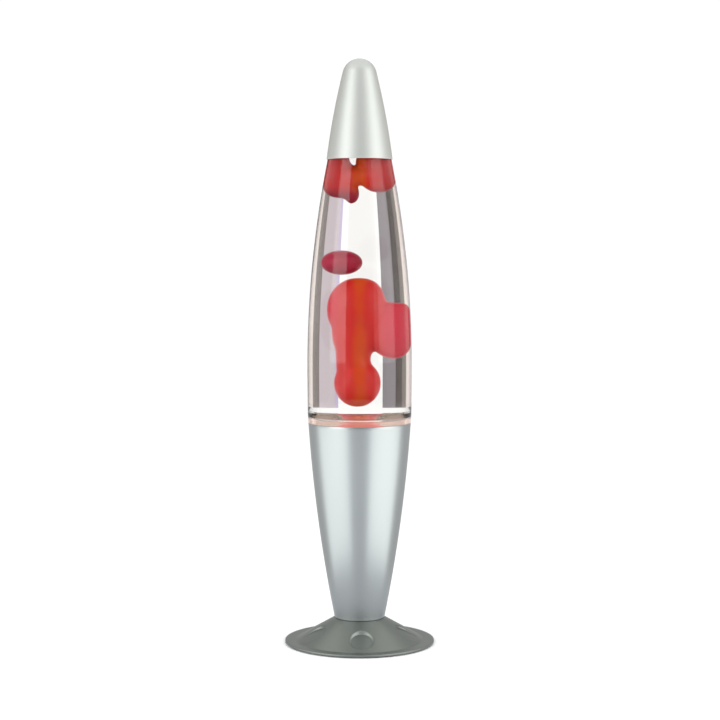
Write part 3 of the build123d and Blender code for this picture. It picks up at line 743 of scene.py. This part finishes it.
# %% The masses of wax
top_mm = cap_low / mm
seat_mm = seat_z / mm
upper = wax_mass("wax_upper_mass", [
    (-11.8, 0, top_mm - 14.5, 10.6, 9.8, 14.2), (-12.2, 0, top_mm - 4.0, 7.2, 9.0, 9.0),
    (-8.6, 0, top_mm - 22.0, 7.4, 7.0, 7.2), (-4.3, 0, top_mm - 25.5, 4.3, 4.6, 7.4),
    (-1.5, 0, top_mm - 13.0, 5.6, 7.0, 7.2), (10.4, 0, top_mm - 12.0, 11.4, 10.6, 13.0),
    (8.8, 0, top_mm - 3.0, 11.0, 9.6, 9.0)], voxel=0.7 * mm, smoothing=12)
bubble = wax_mass("wax_bubble", [(-9.9, 0, top_mm - 74.3, 11.6, 9.8, 8.7)], smoothing=4)
column = wax_mass("wax_rising", [
    (-1.2, 0, seat_mm + 25.0, 12.9, 12.4, 17.0), (-3.4, 0, seat_mm + 40.0, 9.6, 9.4, 18.0),
    (-3.4, 0, seat_mm + 50.0, 9.9, 10.0, 20.0), (-2.6, 0, seat_mm + 62.0, 12.7, 12.4, 24.0),
    (-1.4, 0, seat_mm + 77.0, 16.6, 14.4, 22.8), (0.8, 0, seat_mm + 86.0, 12.5, 11.5, 13.8),
    (8.0, 0, seat_mm + 69.0, 11.0, 9.5, 15.5), (18.6, 0, seat_mm + 62.3, 14.6, 11.5, 20.2),
    (23.2, 0, seat_mm + 65.0, 10.2, 10.0, 17.2)], smoothing=18)
for piece, body_name, skin in ((upper, "wax_upper", wax_upper_skin), (bubble, "wax_oval", wax_bubble_skin),
                               (column, "wax_column", wax_column_skin)):
    paint(piece, skin)
    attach(piece, body_name)
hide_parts("wax_upper_left", "wax_upper_right")
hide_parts("wax_oval")
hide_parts("wax_column", "wax_side")
paint(nodes["wax_pool"], wax_bed_skin)

# %% [markdown]
# ## The heating coil
# A ring of close-wound wire lies on the floor of the bottle and carries the bulb's heat into the
# wax. A curve wound round a ring is the natural way: one loop works out the turns, and the curve's
# own bevel gives the wire its thickness.

# %% The heating coil
coil_outer, coil_low, coil_high = levels("heat_coil")
coil_small = (coil_high - coil_low) / 2
coil_large = coil_outer - coil_small
wire_r = 0.35 * mm
coil_turns = 64
steps_per_turn = 12
wire = bpy.data.curves.new("coil_wire", "CURVE")
wire.dimensions = "3D"
wire.bevel_depth = wire_r
wire.bevel_resolution = 2
path = wire.splines.new("POLY")
count = coil_turns * steps_per_turn
winding_r = coil_small - wire_r
path.points.add(count - 1)
for i in range(count):
    around = 2 * math.pi * i / count
    roll_angle = 2 * math.pi * i / steps_per_turn
    reach = coil_large + winding_r * math.cos(roll_angle)
    path.points[i].co = (reach * math.cos(around), reach * math.sin(around),
                         coil_low + coil_small + winding_r * math.sin(roll_angle), 1)
path.use_cyclic_u = True
wire_object = bpy.data.objects.new("coil_curve", wire)
bpy.context.scene.collection.objects.link(wire_object)
graph = bpy.context.evaluated_depsgraph_get()
coil_mesh = bpy.data.meshes.new_from_object(wire_object.evaluated_get(graph))
bpy.data.objects.remove(wire_object)
coil = bpy.data.objects.new("coil_of_wire", coil_mesh)
bpy.context.scene.collection.objects.link(coil)
for polygon in coil.data.polygons:
    polygon.use_smooth = True
plated = grained("plated_steel", (0.66, 0.66, 0.65), (0.52, 0.52, 0.50), 0.3, metallic=1.0)
paint(coil, plated)
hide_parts("heat_coil")
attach(coil, "bottle")
print("coil", coil_turns, "turns")

# %% [markdown]
# ## The closure
# A pressed steel closure is crimped under the bead in 21 flutes. It is spun as a plain skirt and
# then each vertex of the skirt is moved in and out with the angle.

# %% The closure
flutes = 21
flute_depth = 0.9 * mm
flute_fade = 3.5 * mm  # the flutes deepen over this height
closure_sheet = 0.4 * mm
closure_sweep = 0.5 * mm  # how hollow the flared skirt is


def closure_shape():
    grip = bead_r + 0.1 * mm
    edge_z = closure_top - 1.0 * mm
    outer = ([Vector((0, closure_top)), Vector((grip - 0.6 * mm, closure_top)),
              Vector((grip + 0.1 * mm, closure_top - 0.3 * mm)), Vector((grip + closure_sheet, edge_z))]
             + arc((grip + closure_sheet, edge_z), (closure_r, closure_low), -closure_sweep, 10))
    inner = ([Vector((closure_r - closure_sheet, closure_low))]
             + arc((closure_r - closure_sheet, closure_low), (grip, edge_z - 0.1 * mm), closure_sweep, 10)
             + [Vector((0, closure_top - closure_sheet))])
    piece = spun("closure_shape", outer + inner, turns=12 * flutes)
    for vert in piece.data.vertices:
        away = vert.co.xy.length
        low = min(1.0, (edge_z - 0.2 * mm - vert.co.z) / flute_fade)
        if away > grip - 0.2 * mm and low > 0:
            flute = 0.5 - 0.5 * math.cos(flutes * math.atan2(vert.co.y, vert.co.x))
            pull = 1.0 - flute_depth * flute * low / away
            vert.co.x *= pull
            vert.co.y *= pull
    piece.data.update()
    return piece


closure = closure_shape()
paint(closure, plated)
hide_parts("closure")
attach(closure, "bottle")

# %% [markdown]
# ## The seat ring
# The ring between body and bottle is a clear, slightly milky plastic. It carries the bulb's light round the
# joint, and a faint warm emission is painted on top as a painted glow, though the ring is no lamp, so it
# shows pale at its sides and takes up the red of the wax in the middle.

# %% The seat ring
seat_plastic = clear_material("seat_plastic", (0.98, 0.93, 0.90), 1.42, roughness=0.12)
seat_shader = seat_plastic.node_tree.nodes["Principled BSDF"]
# Painted glow: a faint warm emission that stands in for bulb light carried round the joint.
seat_shader.inputs["Emission Color"].default_value = (1.0, 0.72, 0.62, 1)
seat_shader.inputs["Emission Strength"].default_value = 0.12
paint(nodes["seat_ring"], seat_plastic)
print("seat ring", seat_plastic.name)

# %% [markdown]
# ## Everything inside and underneath
# These parts keep their exact shapes. Each gets the finish of what it is made of.

# %% Hidden finishes
black_plastic = grained("holder_black", (0.035, 0.035, 0.037), (0.02, 0.02, 0.022), 0.38,
                        relief=0.04 * mm)
core_white = grained("core_steatite", (0.82, 0.80, 0.74), (0.72, 0.69, 0.62), 0.6)
brass = grained("brass_sheet", (0.80, 0.60, 0.27), (0.68, 0.48, 0.19), 0.28, metallic=1.0)
black_steel = grained("cover_black", (0.05, 0.05, 0.05), (0.03, 0.03, 0.03), 0.5, relief=0.06 * mm)
iron = grained("cast_iron", (0.13, 0.125, 0.12), (0.07, 0.068, 0.065), 0.7, metallic=0.6,
               grain_scale=900.0, relief=0.2 * mm)
rubber = grained("pad_rubber", (0.035, 0.035, 0.035), (0.02, 0.02, 0.02), 0.75, relief=0.08 * mm)
felt = grained("ring_felt", (0.22, 0.22, 0.21), (0.12, 0.12, 0.12), 0.95, grain_scale=1200.0,
               relief=0.3 * mm, Sheen_Weight=0.4)
solder = grained("solder_grey", (0.62, 0.62, 0.60), (0.48, 0.48, 0.47), 0.42, metallic=1.0)
bulb_black = grained("bulb_vitrite", (0.02, 0.02, 0.022), (0.01, 0.01, 0.012), 0.12)
tungsten = grained("tungsten", (0.55, 0.50, 0.45), (0.4, 0.36, 0.32), 0.5, metallic=1.0,
                   Emission_Color=(1.0, 0.62, 0.28, 1), Emission_Strength=12.0)
hidden = {
    "bottom_cover": black_steel, "rubber_pads": rubber, "ballast": iron,
    "cord_bushing": black_plastic, "tie_tube": plated, "tie_nuts": plated, "tie_washers": plated,
    "earth_tag": brass,
    "holder_cap": black_plastic, "holder_shell": black_plastic, "holder_core": core_white,
    "contact_sleeve": brass, "centre_contact": brass, "terminal_screws": plated,
    "bulb_shell": plated, "bulb_insulator": bulb_black, "bulb_tip": solder, "bulb_wires": plated,
    "bulb_filament": tungsten, "closure_liner": rubber, "cap_ring": felt}
for name, made in hidden.items():
    paint(nodes[name], made)
print(len(hidden), "hidden parts finished")

# %% [markdown]
# The bulb is a small reflector: silvered up to its widest part and frosted on its face. Both
# belong to one envelope, so the material changes with height. The frosted face glows.

# %% The bulb's envelope
frost_low = 12 * mm  # below the bulb's top: all silver
frost_high = 11 * mm  # above this: all frosted


def make_bulb_glass():
    made, tree, shader = material("bulb_silver_and_frost", 0.0, IOR=1.5)
    _, _, bulb_top = levels("bulb_glass")
    place = tree.nodes.new("ShaderNodeTexCoord").outputs["Object"]
    split = tree.nodes.new("ShaderNodeSeparateXYZ")
    tree.links.new(place, split.inputs[0])
    frost = tree.nodes.new("ShaderNodeMapRange")
    frost.inputs["From Min"].default_value = bulb_top - frost_low
    frost.inputs["From Max"].default_value = bulb_top - frost_high
    tree.links.new(split.outputs[2], frost.inputs["Value"])
    skin = use_group(tree, grain, Light=(0.95, 0.94, 0.90, 1), Dark=(0.88, 0.87, 0.83, 1))
    tree.links.new(skin.outputs["Color"], shader.inputs["Base Color"])
    tree.links.new(math_node(tree, "SUBTRACT", 1.0, frost.outputs[0]), shader.inputs["Metallic"])
    blur = math_node(tree, "ADD", 0.08, math_node(tree, "MULTIPLY", frost.outputs[0], 0.5))
    tree.links.new(blur, shader.inputs["Roughness"])
    glow = tree.nodes.new("ShaderNodeMix")
    glow.data_type = "RGBA"
    tree.links.new(frost.outputs[0], glow.inputs[0])
    glow.inputs[6].default_value = (0, 0, 0, 1)
    glow.inputs[7].default_value = (1.0, 0.72, 0.42, 1)
    tree.links.new(glow.outputs[2], shader.inputs["Emission Color"])
    shader.inputs["Emission Strength"].default_value = 7.0
    return made


paint(nodes["bulb_glass"], make_bulb_glass())
paint(nodes["bulb_stem"], clear_material("stem_glass", (0.97, 0.98, 0.96), 1.5))
print("bulb", nodes["bulb_glass"].data.materials[0].name, nodes["bulb_stem"].data.materials[0].name)

# %% [markdown]
# ## The studio
# A pale floor, a bright even surround, two wide soft boxes in front to the sides, and a few toned
# panels behind. A bottle of liquid turns the view behind it round, so the dark panels are what
# draws the grey bands down its sides, and the cream ones tint its rims. The same panels draw the
# darker edges of the cap. The body leans outwards, so it mirrors the floor near the lamp instead.
# It gets its own low ring of cards close by, which only reflections can see.

# %% Floor, surround and panels
floor_shape = bmesh.new()
bmesh.ops.create_grid(floor_shape, x_segments=1, y_segments=1, size=30.0)
floor = new_piece("floor", floor_shape)
floor_white = grained("floor_white", (0.985, 0.985, 0.985), (0.97, 0.97, 0.97), 0.85,
                      Specular_IOR_Level=0.1)
paint(floor, floor_white)

world = bpy.data.worlds.new("surround")
bpy.context.scene.world = world
world.use_nodes = True
background = world.node_tree.nodes["Background"]
background.inputs["Color"].default_value = (1.0, 1.0, 1.0, 1)
background.inputs["Strength"].default_value = 1.05
bpy.context.scene.view_settings.view_transform = "Standard"


box_distance = 1.5
box_height = 1.3
box_centre = 0.77


def soft_box(name, azimuth, width, radiance):
    """A tall area light that faces the lamp, with its azimuth measured from the camera's side."""
    data = bpy.data.lights.new(name, "AREA")
    data.shape = "RECTANGLE"
    data.size = width
    data.size_y = box_height
    data.energy = radiance * math.pi * width * box_height
    lamp = bpy.data.objects.new(name, data)
    angle = math.radians(azimuth)
    lamp.location = (box_distance * math.sin(angle), -box_distance * math.cos(angle), box_centre)
    lamp.rotation_euler = (Vector((0, 0, box_centre)) - lamp.location).to_track_quat("-Z", "Y").to_euler()
    lamp.visible_camera = False
    bpy.context.scene.collection.objects.link(lamp)


soft_box("soft_box_left", -50, 1.0, 2.0)
soft_box("soft_box_right", 64, 1.1, 1.55)


def panel(name, start, end, shade, distance=1.7, height=1.6, low=-0.05, reach=0.0):
    """A curved panel between two azimuths from straight behind, not seen directly.

    With a reach, its upper edge stands that much further out than its lower one.
    """
    shape = bmesh.new()
    turn = math.radians(end - start)
    aim = Vector((math.sin(math.radians(start)), math.cos(math.radians(start)), 0))
    foot_vert = shape.verts.new(distance * aim + Vector((0, 0, low)))
    head_vert = shape.verts.new((distance + reach) * aim + Vector((0, 0, low + height)))
    side = shape.edges.new((foot_vert, head_vert))
    bmesh.ops.spin(shape, geom=[foot_vert, head_vert, side], cent=(0, 0, 0), axis=(0, 0, 1), angle=-turn,
                   steps=10)
    made_panel = new_piece(name, shape)
    made, _, shader = material(name + "_shade")
    shader.inputs["Base Color"].default_value = (0.0, 0.0, 0.0, 1)
    shader.inputs["Specular IOR Level"].default_value = 0.0
    shader.inputs["Emission Color"].default_value = (*shade, 1)
    shader.inputs["Emission Strength"].default_value = 1.0
    paint(made_panel, made)
    made_panel.visible_camera = False
    made_panel.visible_shadow = False
    made_panel.visible_diffuse = False
    return made_panel


cream = (0.86, 0.77, 0.73)
for name, start, end, shade in (
        ("panel_right_line", 11, 13, (0.58, 0.50, 0.70)),
        ("panel_right_near", 13, 27, (0.62, 0.54, 0.58)),
        ("panel_right_deep", 27, 39, (0.22, 0.18, 0.17)),
        ("panel_right_cream", 39, 58, cream),
        ("panel_left_near", -22, -12, (0.25, 0.22, 0.24)),
        ("panel_left_deep", -30, -22, (0.07, 0.05, 0.045)),
        ("panel_left_far", -38, -30, (0.20, 0.16, 0.14)),
        ("panel_left_cream", -58, -38, cream),
        ("panel_front", 147, 211, (0.16, 0.16, 0.16)),
        ("panel_side_right", 58, 93, (0.45, 0.46, 0.46)),
        ("panel_side_left", -110, -58, (0.45, 0.46, 0.46))):
    panel(name, start, end, shade)
card_distance = 0.15
floor_card_start = 0.056  # just outside the rim of the foot
cards = [panel(name, start, end, shade, distance=card_distance, height=0.16, low=1 * mm)
         for name, start, end, shade in (
             ("card_front", 159, 202, (0.72, 0.75, 0.78)),
             ("card_left", 202, 276, (1.62, 1.68, 1.68)),
             ("card_right", 86, 159, (1.72, 1.78, 1.78)),
             ("card_back", -84, 86, (0.56, 0.57, 0.57)))]
cards.append(panel("card_floor", 0, 359, (0.62, 0.65, 0.68), distance=floor_card_start, height=0.0,
                   low=0.6 * mm, reach=card_distance - floor_card_start))
for card in cards:
    card.visible_transmission = False
print("two soft boxes, eleven panels and five cards")

# %% [markdown]
# ## The camera
# The camera stands a little above the foot and looks slightly down, with a long lens, so the lamp
# keeps its proportions.

# %% The camera
look_down = 3.84
camera_data = bpy.data.cameras.new("camera")
camera_data.lens = 90.3
camera_data.sensor_width = 36.0
camera = bpy.data.objects.new("camera", camera_data)
camera.location = (0.0003, -1.296, 0.292)
camera.rotation_euler = (math.radians(90 - look_down), 0, 0)
bpy.context.scene.collection.objects.link(camera)
bpy.context.scene.camera = camera
print("camera at", tuple(round(v, 3) for v in camera.location))
